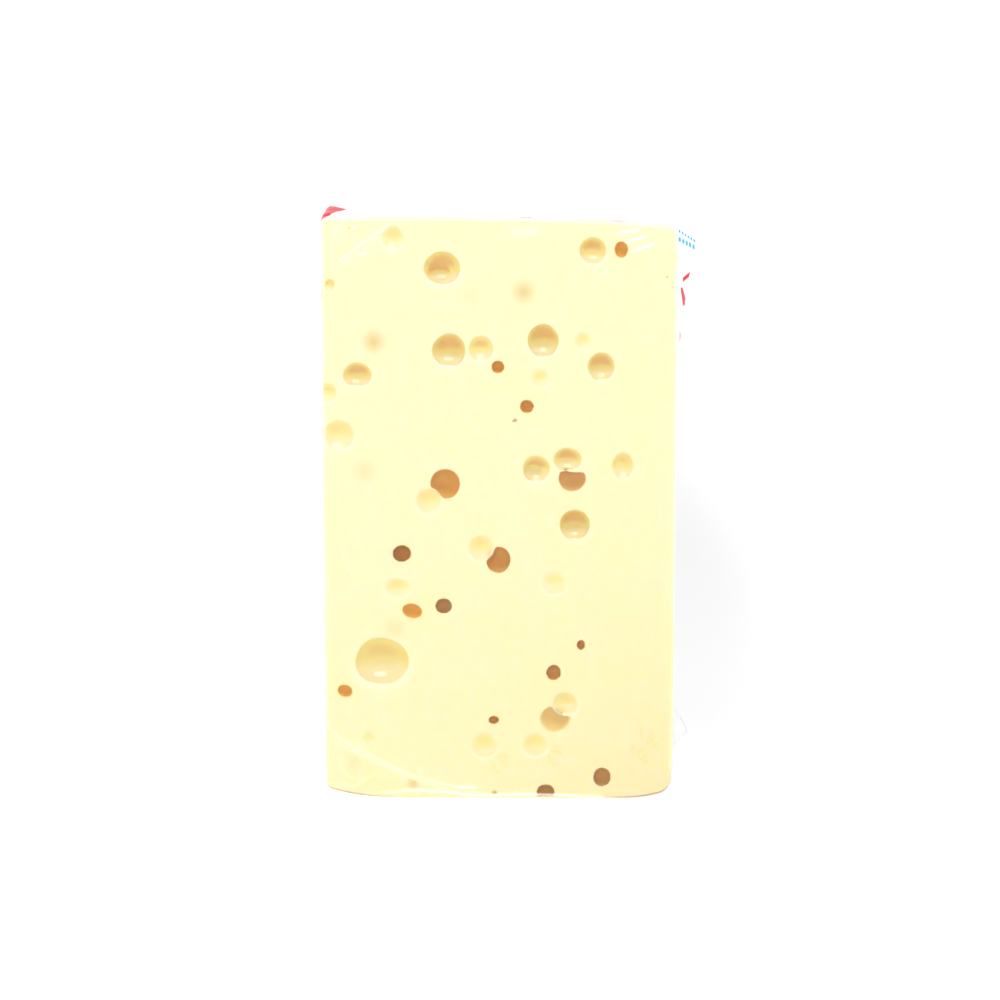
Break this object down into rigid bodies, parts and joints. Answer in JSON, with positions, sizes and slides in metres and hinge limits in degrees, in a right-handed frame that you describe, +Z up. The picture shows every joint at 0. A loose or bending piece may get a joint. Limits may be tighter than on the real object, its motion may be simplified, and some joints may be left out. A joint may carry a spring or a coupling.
{
  "type": "cheese wedge",
  "caption": "Upright wedge of holey hard cheese in its pack: clear film over the cut face, white printed film round the back and sides.",
  "frame": {"origin": "middle of the pack's underside, in the plane that it stands on", "axes": "+Z up along the wedge's longest side; the large cut face looks along -Y; +X towards the thin end"},
  "size_m": [0.1062, 0.0464, 0.1689],
  "materials": {
    "cheese_paste": "smooth moist pale yellow cheese, light passes a little way into it",
    "clear_film": "clear glossy film with a few creases",
    "printed_film": null
  },
  "bodies": {
    "root": {"cheese": "cheese_paste", "clear_front_film": "clear_film", "printed_back_wrap": "printed_film"}
  },
  "joints": []
}
